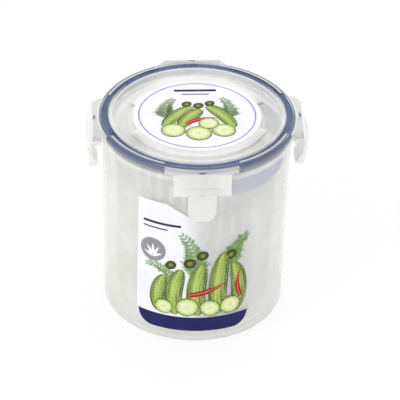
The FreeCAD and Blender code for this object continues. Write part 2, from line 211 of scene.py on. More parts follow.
def tapering(points, half_width):
    """A shape along a bowed line that narrows to a point, as a chilli or a leaf does."""
    def outline(s, t):
        place, ahead = bow(points, t)
        half = half_width * math.sin(math.pi * min(1.0, STALK + (1 - STALK) * t) ** 0.6) ** 0.8
        spot = place + Vector((ahead.y, -ahead.x)) * half * (2 * s - 1)
        return spot.x, spot.y
    return outline


def disc(x, y, radius, squash=1.0, turn=0.0, inner=0.0):
    """A disc or, with inner, a ring: s goes round and t outwards."""
    def outline(s, t):
        angle = -2 * math.pi * s
        reach = radius * (inner + (1 - inner) * t)
        spot = Vector((reach * math.cos(angle), reach * squash * math.sin(angle)))
        spot = Matrix.Rotation(turn, 2) @ spot
        return x + spot.x, y + spot.y
    return outline


def block(left, right, low, high):
    """An upright rectangle."""
    def outline(s, t):
        return left + (right - left) * s, low + (high - low) * t
    return outline


def lay(name, drawing, lay_on, material, body):
    """Makes a print's mesh, laid on its label, and fixes it to the label's body."""
    mesh = bpy.data.meshes.new(name)
    mesh.from_pydata([lay_on(*point) for point in drawing.points], [], drawing.faces)
    layer = mesh.uv_layers.new(name="print")
    for loop in mesh.loops:
        layer.data[loop.index].uv = drawing.uvs[loop.vertex_index]
    tidy = bmesh.new()
    tidy.from_mesh(mesh)
    bmesh.ops.remove_doubles(tidy, verts=tidy.verts, dist=MERGE * MM)
    tidy.to_mesh(mesh)
    tidy.free()
    mesh.materials.append(material)
    mesh.shade_smooth()
    piece = bpy.data.objects.new(name, mesh)
    bpy.context.scene.collection.objects.link(piece)
    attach(piece, body)


def ink(name, stops, by="s", streak=0.0, streak_colour="#d9e39a"):
    """Printing ink on gloss film: a ramp across or along the motif. Streaks follow a ramp across it,
    about nine to its width, and rays follow a ramp along it, about 26 to its round."""
    material, tree, shader = new_finish(name)
    shader.inputs["Roughness"].default_value = INK_ROUGH
    shader.inputs["Specular IOR Level"].default_value = INK_GLOSS
    place = add(tree, "ShaderNodeTexCoord")
    parts = add(tree, "ShaderNodeSeparateXYZ", {}, {0: place.outputs["UV"]})
    ramp = add(tree, "ShaderNodeValToRGB", {"stops": stops}, {0: parts.outputs[0 if by == "s" else 1]})
    stretch = (9.0, 1.3, 1.0) if by == "s" else (26.0, 1.0, 1.0)
    drawn = add(tree, "ShaderNodeMapping", {"Scale": stretch}, {"Vector": place.outputs["UV"]})
    grain = add(tree, "ShaderNodeTexNoise", {"Scale": 1.0, "Detail": 4.0}, {"Vector": drawn.outputs[0]})
    share = add(tree, "ShaderNodeMapRange", {1: 0.45, 2: 0.75, 3: 0.0, 4: streak}, {0: grain.outputs[0]})
    mixed = add(tree, "ShaderNodeMixRGB", {2: linear(streak_colour)},
                {0: share.outputs[0], 1: ramp.outputs[0]})
    tree.links.new(mixed.outputs[0], shader.inputs["Base Color"])
    return material


def plain_ink(name, colour, second, size):
    """One ink whose cover varies a little, with spots of that size in millimetres."""
    material, tree, shader = new_finish(name)
    shader.inputs["Roughness"].default_value = INK_ROUGH
    shader.inputs["Specular IOR Level"].default_value = INK_GLOSS
    place = add(tree, "ShaderNodeTexCoord")
    spots = add(tree, "ShaderNodeTexNoise", {"Scale": 1 / (size * MM), "Detail": 3.0},
                {"Vector": place.outputs["Object"]})
    ramp = add(tree, "ShaderNodeValToRGB", {"stops": [(0.35, second), (0.62, colour)]},
               {0: spots.outputs[0]})
    tree.links.new(ramp.outputs[0], shader.inputs["Base Color"])
    return material


def grow(name, inputs, build, material):
    """Runs a geometry tree with named inputs and returns its flat drawing in millimetres."""
    tree = bpy.data.node_groups.new(name, "GeometryNodeTree")
    tree.interface.new_socket("Geometry", in_out="OUTPUT", socket_type="NodeSocketGeometry")
    for label, value in inputs.items():
        kind = {int: "NodeSocketInt", float: "NodeSocketFloat", tuple: "NodeSocketVector"}[type(value)]
        tree.interface.new_socket(label, in_out="INPUT", socket_type=kind)
    given = tree.nodes.new("NodeGroupInput").outputs
    grown = build(tree, given)
    whole = add(tree, "GeometryNodeRealizeInstances", {}, {0: grown})
    dressed = add(tree, "GeometryNodeSetMaterial", {"Material": material}, {0: whole.outputs[0]})
    add(tree, "NodeGroupOutput", {}, {0: dressed.outputs[0]})
    carrier = bpy.data.objects.new(name, bpy.data.meshes.new(name))
    bpy.context.scene.collection.objects.link(carrier)
    modifier = carrier.modifiers.new("grow", "NODES")
    modifier.node_group = tree
    for item in tree.interface.items_tree:
        if item.in_out == "INPUT":
            modifier[item.identifier] = inputs[item.name]
    ready = carrier.evaluated_get(bpy.context.evaluated_depsgraph_get())
    flat = bpy.data.meshes.new_from_object(ready)
    carrier.modifiers.remove(modifier)
    drawing = Print()
    drawing.points = [tuple(v.co) for v in flat.vertices]
    drawing.faces = [tuple(p.vertices) for p in flat.polygons]
    drawing.uvs = [(0.5, 0.5)] * len(drawing.points)
    bpy.data.objects.remove(carrier)
    return drawing


def join(drawings):
    """Several drawings as one."""
    whole = Print()
    for drawing in drawings:
        first = len(whole.points)
        whole.points += drawing.points
        whole.uvs += drawing.uvs
        whole.faces += [tuple(i + first for i in face) for face in drawing.faces]
    return whole


def seeds_tree(tree, given):
    """A ring of seeds, each pointing outwards."""
    ring = add(tree, "GeometryNodeMeshCircle", {}, {"Vertices": given["Count"], "Radius": given["Ring"]})
    seed = add(tree, "GeometryNodeMeshCircle", {"fill_type": "NGON", "Vertices": 8, "Radius": 1.0})
    turn = add(tree, "ShaderNodeMath", {"operation": "DIVIDE", 0: 2 * math.pi}, {1: given["Count"]})
    index = add(tree, "GeometryNodeInputIndex")
    angle = add(tree, "ShaderNodeMath", {"operation": "MULTIPLY"},
                {0: index.outputs[0], 1: turn.outputs[0]})
    spin = add(tree, "ShaderNodeCombineXYZ", {}, {"Z": angle.outputs[0]})
    size = add(tree, "ShaderNodeCombineXYZ", {"Z": 1.0}, {"X": given["Length"], "Y": given["Width"]})
    placed = add(tree, "GeometryNodeInstanceOnPoints", {},
                 {"Points": ring.outputs[0], "Instance": seed.outputs[0], "Rotation": spin.outputs[0],
                  "Scale": size.outputs[0]})
    return placed.outputs[0]


def sprig_tree(tree, given):
    """A dill sprig: a bowed stem with fine branches on both sides, each with hair-thin leaflets. A
    branch is drawn one millimetre long and then scaled to its reach."""
    stem = add(tree, "GeometryNodeCurveQuadraticBezier", {"Resolution": 24},
               {"Start": given["Start"], "Middle": given["Middle"], "End": given["End"]})
    steps = add(tree, "GeometryNodeResampleCurve", {},
                {"Curve": stem.outputs[0], "Count": given["Branches"]})
    hair = add(tree, "GeometryNodeMeshGrid",
               {"Vertices X": 2, "Vertices Y": 2, "Size X": HAIR_LENGTH, "Size Y": HAIR_WIDTH})
    hair = add(tree, "GeometryNodeTransform", {"Translation": (HAIR_LENGTH / 2, 0, 0)},
               {0: hair.outputs[0]})
    twig = add(tree, "GeometryNodeCurvePrimitiveLine", {"Start": (0, 0, 0), "End": (1, 0, 0)})
    joints = add(tree, "GeometryNodeResampleCurve", {"Count": 8}, {"Curve": twig.outputs[0]})
    sides = []
    for lean in (HAIR_LEAN, -HAIR_LEAN):
        leaf = add(tree, "GeometryNodeInstanceOnPoints", {"Rotation": (0, 0, lean)},
                   {"Points": joints.outputs[0], "Instance": hair.outputs[0]})
        sides.append(leaf.outputs[0])
    spine = add(tree, "GeometryNodeMeshGrid",
                {"Vertices X": 2, "Vertices Y": 2, "Size X": 1.0, "Size Y": SPINE_WIDTH})
    spine = add(tree, "GeometryNodeTransform", {"Translation": (0.5, 0, 0)}, {0: spine.outputs[0]})
    branch = add(tree, "GeometryNodeJoinGeometry")
    for part in (*sides, spine.outputs[0]):
        tree.links.new(part, branch.inputs[0])
    tangent = add(tree, "GeometryNodeInputTangent")
    aligned = add(tree, "FunctionNodeAlignRotationToVector", {"axis": "X", "pivot_axis": "Z"},
                  {"Vector": tangent.outputs[0]})
    share = add(tree, "GeometryNodeSplineParameter")
    less = add(tree, "ShaderNodeMapRange", {1: 0.0, 2: 1.0, 3: 1.0, 4: 0.35}, {0: share.outputs[0]})
    length = add(tree, "ShaderNodeMath", {"operation": "MULTIPLY"},
                 {0: less.outputs[0], 1: given["Reach"]})
    chance = add(tree, "FunctionNodeRandomValue", {"data_type": "FLOAT", 2: 0.75, 3: 1.2},
                 {"Seed": given["Seed"]})
    size = add(tree, "ShaderNodeMath", {"operation": "MULTIPLY"},
               {0: length.outputs[0], 1: chance.outputs[1]})
    grown = add(tree, "GeometryNodeJoinGeometry")
    for lean in (TWIG_LEAN, -TWIG_LEAN):
        turned = add(tree, "FunctionNodeRotateRotation", {"rotation_space": "LOCAL", 1: (0, 0, lean)},
                     {0: aligned.outputs[0]})
        twigs = add(tree, "GeometryNodeInstanceOnPoints", {},
                    {"Points": steps.outputs[0], "Instance": branch.outputs[0],
                     "Rotation": turned.outputs[0], "Scale": size.outputs[0]})
        tree.links.new(twigs.outputs[0], grown.inputs[0])
    return grown.outputs[0]


# Printing inks lie flat and half matt on the film. The pictures' inks are dark at a motif's edges and
# light where it is round, as a printed photograph of one is, and the plain ones are even.
gherkin_ink = ink("gherkin_ink", [(0.0, "#2c3f10"), (0.16, "#5d7a24"), (0.40, "#a9be55"), (0.62, "#7f9c35"),
                                  (0.86, "#48631a"), (1.0, "#25350d")], streak=0.75)
slice_ink = ink("slice_ink", [(0.0, "#d3dc93"), (0.45, "#e6edbb"), (0.78, "#c5d585"), (0.90, "#8fae46"),
                              (0.95, "#3e5f19"), (1.0, "#2f4a12")], by="t", streak=0.55,
                streak_colour="#f3f6d8")
chilli_ink = ink("chilli_ink", [(0.0, "#7c1410"), (0.3, "#c8291c"), (0.45, "#ee7f68"), (0.6, "#c8291c"),
                                (1.0, "#6b100d")], streak=0.2, streak_colour="#8c1812")
olive_ink = ink("olive_ink", [(0.0, "#a9ad63"), (0.3, "#6d7434"), (0.75, "#3b421a"), (1.0, "#22270f")],
                by="t", streak=0.3, streak_colour="#5a6128")
seed_ink = plain_ink("seed_ink", "#f4f3d2", "#d8dba0", 0.8)
dill_ink = plain_ink("dill_ink", "#7ba33a", "#4d7a22", 2.0)
wart_ink = plain_ink("wart_ink", "#e4ecb6", "#b9cc74", 1.5)
navy_ink = plain_ink("navy_ink", "#1f1f61", "#191a55", 9.0)
grey_ink = plain_ink("grey_ink", "#939498", "#8d8e92", 6.0)
white_ink = plain_ink("white_ink", "#fbfbfb", "#f4f4f5", 6.0)
lilac_ink = plain_ink("lilac_ink", "#8f9bd6", "#7c89c8", 5.0)

WART_STEP, WART_LINES, WART_R = 1.9, 4, 0.24
SPRIG_BRANCHES, FIRST_SEED = 12, 5
# A slice's seeds: how many, and their ring, length and width as shares of the slice's radius.
SEED_COUNT, SEED_RING, SEED_LENGTH, SEED_WIDTH = 9, 0.46, 0.16, 0.055


def gherkins(drawing, warts, items, layer):
    """Whole gherkins, each with lines of small pale warts that sway unevenly."""
    for number, (points, half) in enumerate(items):
        level = layer + 4 * LAYER * number
        shape = along(points, half)
        drawing.patch(shape, 28, 10, level)
        length = (Vector(points[2]) - Vector(points[0])).length
        for j in range(1, int(length / WART_STEP)):
            for i in range(WART_LINES):
                swing = math.sin(7.3 * j + 4.1 * i + number)
                s = 0.2 + 0.2 * i + 0.05 * swing
                t = min(0.94, (j + 0.5 * (i % 2) + 0.25 * swing) * WART_STEP / length)
                x, y = shape(s, t)
                warts.patch(disc(x, y, WART_R + 0.05 * swing), 1, 8, level + LAYER)


def picture(name, body, lay_on, motifs):
    """Draws one label's motifs and lays them on the label, one mesh for each kind."""
    whole, warts, slices, chillies, olives = Print(), Print(), Print(), Print(), Print()
    seeds = []
    gherkins(whole, warts, motifs["gherkins"], 2 * LAYER)
    top = (4 * len(motifs["gherkins"]) + 3) * LAYER
    for number, (x, y, radius, squash, turn) in enumerate(motifs["slices"]):
        level = top + 3 * LAYER * number
        slices.patch(disc(x, y, radius, squash, turn), 10, 40, level)
        inputs = {"Count": SEED_COUNT, "Ring": SEED_RING * radius, "Length": SEED_LENGTH * radius,
                  "Width": SEED_WIDTH * radius}
        ring = grow("seed_ring", inputs, seeds_tree, seed_ink)
        tilt = Matrix.Rotation(turn, 2)
        spots = [tilt @ Vector((p[0], p[1] * squash)) for p in ring.points]
        ring.points = [(x + spot.x, y + spot.y, level + LAYER) for spot in spots]
        seeds.append(ring)
    for number, (points, half) in enumerate(motifs["chillies"]):
        chillies.patch(tapering(points, half), 24, 8, top + (3 * number + 2) * LAYER)
    for number, (x, y, radius) in enumerate(motifs["olives"]):
        olives.patch(disc(x, y, radius, 0.86, 0.6), 8, 32, 2 * LAYER * (1 + number))
    sprigs = []
    for number, (points, reach) in enumerate(motifs["sprigs"]):
        start, middle, end = ((*p, LAYER) for p in points)
        inputs = {"Start": start, "Middle": middle, "End": end, "Branches": SPRIG_BRANCHES,
                  "Reach": float(reach), "Seed": FIRST_SEED + number}
        sprigs.append(grow("dill_sprig", inputs, sprig_tree, dill_ink))
    lay(name + "_gherkins", whole, lay_on, gherkin_ink, body)
    lay(name + "_warts", warts, lay_on, wart_ink, body)
    lay(name + "_slices", slices, lay_on, slice_ink, body)
    lay(name + "_seeds", join(seeds), lay_on, seed_ink, body)
    lay(name + "_chillies", chillies, lay_on, chilli_ink, body)
    lay(name + "_olives", olives, lay_on, olive_ink, body)
    lay(name + "_dill", join(sprigs), lay_on, dill_ink, body)


# Front label: a clear film wrapped round the front of the tub, printed white on its left half, which
# fades out to the right, with a navy band along the foot. It is cut out round the front flap's tongue.
FRONT_TURN = math.radians(-93.5)
PRINT_GAP = 0.012
FADE_LEFT, FADE_RIGHT = -8, 10
PRINTED, BARE = 0.97, 0.10
LEAN_LOW, LEAN_HIGH, LEAN = 45, 75, -2
BAND_HEIGHT, BAND_HALF, BAND_CORNER = 8.6, 31.0, 9.0
STRIPE_LEFT = -27.5
SPOT_U, SPOT_V, SPOT_R = -22.0, 57.5, 7.2
LEAF_FOOT, LEAF_COUNT, LEAF_STEP = 53.6, 5, 42

label_low, label_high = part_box("front_label")
foot = label_low.z / MM
head = label_high.z / MM
film = [v.co for v in frame["nodes"]["front_label"].data.vertices]
low_r = max(math.hypot(p.x, p.y) for p in film if p.z < label_low.z + 2 * MM) / MM
high_r = max(math.hypot(p.x, p.y) for p in film if p.z > label_high.z - 0.01 * MM) / MM
middle_r = (low_r + high_r) / 2


def film_radius(z):
    """The label's outer radius at a height, in millimetres, from the label's own lower and upper edges."""
    return low_r + (high_r - low_r) * (z - foot) / (head - foot)


def on_front(u, v, layer):
    """A place on the front label: u right of its middle and v above the floor, in millimetres."""
    angle = FRONT_TURN + u / middle_r
    radius = film_radius(v) + PRINT_GAP + layer
    return radius * math.cos(angle) * MM, radius * math.sin(angle) * MM, v * MM


def printed_white(tree, place):
    """How much the film hides: nearly all in its white left half, little where it is clear. The line
    between them leans a little."""
    parts = add(tree, "ShaderNodeSeparateXYZ", {}, {0: place})
    lean = add(tree, "ShaderNodeMapRange", {1: LEAN_LOW * MM, 2: LEAN_HIGH * MM, 3: 0.0, 4: LEAN * MM},
               {0: parts.outputs["Z"]})
    across = add(tree, "ShaderNodeMath", {"operation": "SUBTRACT"},
                 {0: parts.outputs["X"], 1: lean.outputs[0]})
    fade = add(tree, "ShaderNodeMapRange",
               {"interpolation_type": "SMOOTHSTEP", 1: FADE_LEFT * MM, 2: FADE_RIGHT * MM, 3: PRINTED,
                4: BARE},
               {0: across.outputs[0]})
    return fade.outputs[0]


# Gloss polypropylene film: a cool white where it is printed, and a thin veil where it is clear.
dress("front_label", moulded_plastic("printed_film", "#f2f2f5", "#f0f0f4", 0.22, printed_white))


def band_shape(s, t):
    """The navy band along the foot, whose lower corners are rounded like the label's."""
    u = BAND_HALF * (2 * s - 1)
    v_low = foot
    over = abs(u) - (BAND_HALF - BAND_CORNER)
    if over > 0:
        v_low = foot + BAND_CORNER - math.sqrt(max(0.0, BAND_CORNER ** 2 - over ** 2))
    return u, v_low + (foot + BAND_HEIGHT - v_low) * t


band = Print()
band.patch(band_shape, 6, 60, 0)
lay("front_print_band", band, on_front, navy_ink, "container")

stripes = Print()
stripes.patch(block(STRIPE_LEFT, -7.0, 74.2, 75.6), 1, 20, 0)
stripes.patch(block(STRIPE_LEFT, -14.0, 71.2, 72.0), 1, 14, 0)
lay("front_print_stripes", stripes, on_front, navy_ink, "container")

spot = Print()
spot.patch(disc(SPOT_U, SPOT_V, SPOT_R), 8, 40, 0)
lay("front_print_spot", spot, on_front, grey_ink, "container")
leaf = Print()
for number in range(LEAF_COUNT):
    angle = math.radians(90 + LEAF_STEP * (number - LEAF_COUNT // 2))
    tip = (SPOT_U + 5.2 * math.cos(angle), LEAF_FOOT + 1.4 + 6.4 * math.sin(angle))
    half_way = (SPOT_U + 2.6 * math.cos(angle), LEAF_FOOT + 1.0 + 3.4 * math.sin(angle))
    leaf.patch(tapering([(SPOT_U, LEAF_FOOT), half_way, tip], 0.85), 12, 4, LAYER)
lay("front_print_leaf", leaf, on_front, white_ink, "container")

picture("front_print", "container", on_front, {
    "gherkins": [([(-18, 19), (-22, 30), (-15, 43)], 4.2),
                 ([(23, 19), (28, 34), (21, 51)], 4.6),
                 ([(14, 19), (11, 36), (16, 58)], 5.0),
                 ([(-9, 18.5), (-13, 32), (-6, 48)], 4.6),
                 ([(3, 18.5), (-1, 34), (5, 52)], 5.0)],
    "slices": [(-3, 24, 6.2, 0.92, 0.3), (9, 23.4, 5.6, 0.88, -0.4), (20, 24, 5.9, 0.9, 0.2),
               (-15.5, 23, 5.0, 0.9, 0.0)],
    "chillies": [([(-2, 32), (8, 33), (17, 39)], 1.5), ([(26, 28), (22, 36), (25, 45)], 1.3)],
    "olives": [(-2, 52, 3.4), (4.5, 57, 3.2), (-12, 50, 3.0), (19.5, 56, 3.2)],
    "sprigs": [([(0, 44), (2, 60), (-6, 69)], 7.0), ([(18, 50), (22, 62), (28, 66)], 6.5),
               ([(-10, 40), (-16, 50), (-25, 48)], 4.5)],
})


# Strainer tray: a slotted basket of milky polypropylene, moulded in one piece with its collar and foot
# ring. It stands loose in the tub. Its walls are thin, so light comes through them.
COLLAR_LOW, WAIST_HEIGHT = 84.5, 2.5
BASKET_HAZE, COLLAR_HAZE = 0.56, 0.26


def tray_haze(tree, place):
    """How much the tray hides: its collar is thinner and clearer than the basket below."""
    return heights(tree, place, COLLAR_LOW - WAIST_HEIGHT, COLLAR_LOW, BASKET_HAZE, COLLAR_HAZE)


# Unpolished polypropylene shows as a cool, even, milky white with a satin skin.
dress("strainer_tray", moulded_plastic("polypropylene_milky", "#f9fafb", "#f3f4f6", 0.38, tray_haze))


# Handle: a bail strap of lilac-blue polypropylene, snapped into the tray's collar by its two pins and
# folded down. It is satin, and a little light comes through it.
PIN_R, PIN_EDGE = 2.6, 0.8

hinge = next(j for j in frame["joints"] if j["name"] == "handle_swing")


def painted_boss_shade(tree, place):
    """Painted shade on the bosses at the two pins, which lie close to the tub's wall and show darker
    through it.
    """
    out = add(tree, "ShaderNodeVectorMath", {"operation": "SUBTRACT", 1: hinge["pos_m"]}, {0: place})
    square = add(tree, "ShaderNodeVectorMath", {"operation": "CROSS_PRODUCT", 1: hinge["axis"]},
                 {0: out.outputs[0]})
    off = add(tree, "ShaderNodeVectorMath", {"operation": "LENGTH"}, {0: square.outputs[0]})
    return add(tree, "ShaderNodeMapRange", {1: PIN_R * MM, 2: (PIN_R + PIN_EDGE) * MM, 3: 1.0, 4: 0.0},
               {0: off.outputs["Value"]}).outputs[0]


# Dyed polypropylene with a satin skin: a soft lilac blue that hides nearly all behind it, with
# painted shade on the pin bosses.
dress("tray_handle", moulded_plastic("polypropylene_lilac", "#6f7fca", "#6474c1", 0.34, 0.96,
                                     ("#4353a6", painted_boss_shade, 0.96)))


# Seal: a navy silicone ring pressed up into the lid's channel, where its two legs straddle the tub's
# neck. Silicone is satin, with a faint bloom where it has been handled, so its navy looks greyed.
seal = moulded_plastic("silicone_navy", "#3f5889", "#364d7d", 0.5, 0.97)
seal.node_tree.nodes["Principled BSDF"].inputs["IOR"].default_value = 1.41
dress("seal_ring", seal)


# Lid: one clear polypropylene moulding with a rim that shows the seal through it, a sunk gutter and a
# raised middle. The rim is thin and clear, and the middle and the hinge shelves are milkier.
RING_REACH = 60
SHELF_REACH, SHELF_DROP, SHELF_FLAT, SHELF_ROUND = 2.3, 1.1, 0.4, 0.6
CHANNEL_WIDTH = 6.45
GUTTER_IN, GUTTER_OUT = 34.0, 43.6
CLEARED_FROM, CLEARED_TO = 16, 32
WALL_FROM, WALL_TO = 34, 45
HINGE_END, HINGE_FADE = 18.6, 1.0
CLEAR, MILKY, GUTTER_CLEARED, WALL_HAZE = 0.06, 0.66, 0.31, 0.60
# The middle level on the next line is the milkiness of a painted highlight, a ring on the rim's top.
SHELF_HAZE, PAINTED_HIGHLIGHT_HAZE, RECESS_HAZE = 0.40, 0.62, 0.55
GATE_GAP, GATE_BACK, GATE_LENGTH, GATE_SQUASH = 0.03, 0.45, 2.1, 0.25

lid_mesh = [v.co for v in frame["nodes"]["lid_panel"].data.vertices]
lid_top = max(p.z for p in lid_mesh) / MM
shelf_r = max(p.x for p in lid_mesh) / MM
rim_r = shelf_r - SHELF_REACH
channel_in = rim_r - CHANNEL_WIDTH


def rings(tree, place, stops):
    """A level by the distance from the upright middle line, from stops of millimetres and levels. A ramp
    runs from 0 to 1, so each distance is given as a share of RING_REACH."""
    parts = add(tree, "ShaderNodeSeparateXYZ", {}, {0: place})
    flat = add(tree, "ShaderNodeCombineXYZ", {}, {"X": parts.outputs["X"], "Y": parts.outputs["Y"]})
    radius = add(tree, "ShaderNodeVectorMath", {"operation": "LENGTH"}, {0: flat.outputs[0]})
    share = add(tree, "ShaderNodeMath", {"operation": "DIVIDE", 1: RING_REACH * MM},
                {0: radius.outputs["Value"]})
    return add(tree, "ShaderNodeValToRGB", {"stops": [(r / RING_REACH, level) for r, level in stops]},
               {0: share.outputs[0]}).outputs[0]


def aside(tree, place, axis):
    """The distance from the upright plane through the lid's middle, along X or Y."""
    parts = add(tree, "ShaderNodeSeparateXYZ", {}, {0: place})
    return add(tree, "ShaderNodeMath", {"operation": "ABSOLUTE"}, {0: parts.outputs[axis]}).outputs[0]


def from_hinges(tree, place, at_hinges, between):
    """A level that is one number or mask at the four hinges and another one between them."""
    near = add(tree, "ShaderNodeMath", {"operation": "MINIMUM"},
               {0: aside(tree, place, "X"), 1: aside(tree, place, "Y")})
    node = add(tree, "ShaderNodeMapRange", {1: HINGE_END * MM, 2: (HINGE_END + HINGE_FADE) * MM},
               {0: near.outputs[0]})
    for socket, level in ((3, at_hinges), (4, between)):
        if isinstance(level, float):
            node.inputs[socket].default_value = level
        else:
            tree.links.new(level, node.inputs[socket])
    return node.outputs[0]


def lid_haze(tree, place):
    """How much the lid hides: milky in the middle, clearer at its left and right, clear over the seal but
    for a painted highlight, a milkier ring where the rim's top catches the light between the hinges,
    and half milky at the four hinges."""
    sideways = aside(tree, place, "X")
    parts = add(tree, "ShaderNodeSeparateXYZ", {}, {0: place})
    plain = rings(tree, place, [(0.0, MILKY), (channel_in - 1.4, MILKY), (channel_in - 0.5, 0.62),
                                (channel_in, CLEAR), (rim_r + 0.15, CLEAR), (rim_r + 0.55, SHELF_HAZE)])
    gutter = rings(tree, place, [(GUTTER_IN, 0.0), (GUTTER_IN + 2.0, GUTTER_CLEARED),
                                 (GUTTER_OUT - 0.4, GUTTER_CLEARED), (GUTTER_OUT, 0.0)])
    cleared = add(tree, "ShaderNodeMapRange", {1: CLEARED_FROM * MM, 2: CLEARED_TO * MM, 3: 0.0},
                  {0: sideways, 4: gutter})
    haze = add(tree, "ShaderNodeMath", {"operation": "SUBTRACT"}, {0: plain, 1: cleared.outputs[0]})
    wall = rings(tree, place, [(channel_in - 0.5, WALL_HAZE), (channel_in + 0.8, WALL_HAZE),
                               (channel_in + 1.4, 0.0)])
    side = add(tree, "ShaderNodeMapRange", {1: WALL_FROM * MM, 2: WALL_TO * MM, 3: 0.0},
               {0: sideways, 4: wall})
    # Painted highlight: a milkier ring on the rim's top, drawn where the rim catches the light.
    painted_highlight = rings(tree, place, [(rim_r - 3.45, 0.0), (rim_r - 3.05, PAINTED_HIGHLIGHT_HAZE), (rim_r - 2.35, PAINTED_HIGHLIGHT_HAZE),
                                (rim_r - 1.95, 0.0)])
    recess = rings(tree, place, [(rim_r - 0.85, 0.0), (rim_r - 0.65, RECESS_HAZE)])
    low = add(tree, "ShaderNodeMapRange", {1: (lid_top - 0.55) * MM, 2: (lid_top - 0.4) * MM, 4: 0.0},
              {0: parts.outputs["Z"], 3: recess})
    milkier = (side.outputs[0], from_hinges(tree, place, 0.0, painted_highlight),
               from_hinges(tree, place, low.outputs[0], 0.0))
    for other in milkier:
        haze = add(tree, "ShaderNodeMath", {"operation": "MAXIMUM"}, {0: haze.outputs[0], 1: other})
    return haze.outputs[0]


def painted_edge_shade(tree, place):
    """Painted shade on the rim's rounded outer edge and the hinge shelves, where the clear moulding is
    thickest: a dark bluish tint for the seal's colour that the thick edge bends into view.
    """
    edge = rings(tree, place, [(rim_r - 1.95, 0.0), (rim_r - 1.45, 1.0), (rim_r + 0.05, 1.0),
                               (rim_r + 0.35, 0.0)])
    upper = from_hinges(tree, place, 0.0, heights(tree, place, lid_top - 3.8, lid_top - 3.0, 0.0, 1.0))
    brow = heights(tree, place, lid_top - 0.6, lid_top - 0.45, 0.0, 1.0)
    seen_edge = add(tree, "ShaderNodeMath", {"operation": "MAXIMUM"}, {0: upper, 1: brow})
    rim = add(tree, "ShaderNodeMath", {"operation": "MULTIPLY"}, {0: edge, 1: seen_edge.outputs[0]})
    shelf = rings(tree, place, [(rim_r + 0.05, 0.0), (rim_r + 0.55, 0.30)])
    return add(tree, "ShaderNodeMath", {"operation": "MAXIMUM"}, {0: rim.outputs[0], 1: shelf}).outputs[0]


# Polished clear polypropylene: nearly glassy where it is thin, white where it is milky, and with a
# painted dark bluish shade on the thick edge and the hinge shelves, for the seal's colour bent through them.
dress("lid_panel", moulded_plastic("polypropylene_clear", "#fdfdfb", "#fafaf7", 0.13, lid_haze,
                                   ("#59617c", painted_edge_shade, 0.86)))

gate_marks = Print()
for side in range(4):
    gate_marks.patch(disc(0, GATE_BACK - shelf_r, GATE_LENGTH, GATE_SQUASH), 4, 24, side)


def on_shelf(u, v, side):
    """A place on the top of one of the four hinge shelves, whose outer edge is rounded."""
    spot = Matrix.Rotation(math.radians(90 * side), 2) @ Vector((u, v))
    past = max(0.0, -v - (shelf_r - SHELF_FLAT))
    drop = SHELF_DROP + SHELF_ROUND - math.sqrt(SHELF_ROUND ** 2 - past ** 2)
    return spot.x * MM, spot.y * MM, (lid_top - drop + GATE_GAP) * MM


# The scar that a mould's gate leaves: dull, and dark in the clear plastic round it.
lay("gate_marks", gate_marks, on_shelf, plain_ink("gate_scar", "#6d7280", "#5d6270", 1.0), "lid")


# Lid label: a round film in the raised middle of the lid, stuck down flat and printed like the front
# label, with a thin lilac ring near its edge.
RING_R, RING_INNER = 30.6, 0.975

lid_label_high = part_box("lid_label")[1]


def on_lid(u, v, layer):
    """A place on the lid's label: u right of its middle and v behind it, in millimetres."""
    return u * MM, v * MM, lid_label_high.z + (PRINT_GAP + layer) * MM


# Gloss polypropylene film, printed solid white.
dress("lid_label", moulded_plastic("white_film", "#f2f2f4", "#f0f0f3", 0.22, PRINTED))

ring = Print()
ring.patch(disc(0, 0, RING_R, inner=RING_INNER), 1, 120, 0)
lay("lid_print_ring", ring, on_lid, lilac_ink, "lid")
marks = Print()
marks.patch(block(-11, 11, 22.6, 24.6), 1, 8, 0)
marks.patch(block(-7, 7, 19.6, 20.5), 1, 6, 0)
lay("lid_print_marks", marks, on_lid, navy_ink, "lid")
picture("lid_print", "lid", on_lid, {
    "gherkins": [([(-18, -11), (-11, 2), (-2, 8)], 4.0), ([(19, -12), (14, 2), (5, 9)], 4.0),
                 ([(-9, -12), (-5, 0), (3, 5)], 4.2)],
    "slices": [(-13, -14, 6.4, 0.95, 0.2), (0, -17, 6.8, 0.95, 0.0), (13, -14.5, 6.2, 0.95, -0.3),
               (5.5, -8, 5.4, 0.95, 0.5)],
    "chillies": [([(-6, -8), (2, -2), (10, -3)], 1.4)],
    "olives": [(1, 9, 3.0), (-5, 10.5, 2.8), (7, 11, 2.8)],
    "sprigs": [([(-16, -2), (-18, 8), (-12, 15)], 5.5), ([(16, -2), (19, 8), (14, 15)], 5.5)],
})


# Flaps: four locking flaps of the lid's own polypropylene, thick enough to look milky. A living hinge,
# a film as thin as card that runs from the lid's shelf to the flap's upper edge, carries each one.
SIDES = {"right": 0, "back": 90, "left": 180, "front": 270}
FILM_HALF, FILM_THICKNESS = 14.2, 0.22
BEND_IN, BEND_OUT = 0.95, 0.1
# The film's upper face sags between shelf and flap. These are its steps out from the hinge line and up
# from the roll's top, in millimetres.
FILM_SAG = [(-1.3, -0.05), (-0.95, -0.3), (-0.7, -0.42), (-0.4, -0.22), (0.0, -0.02)]

roll_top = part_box("flap_right")[1].z / MM
joint = next(j for j in frame["joints"] if j["name"] == "flap_right_swing")
hinge_r = joint["pos_m"][0] / MM
film_line = [(hinge_r + out, roll_top + up) for out, up in FILM_SAG]

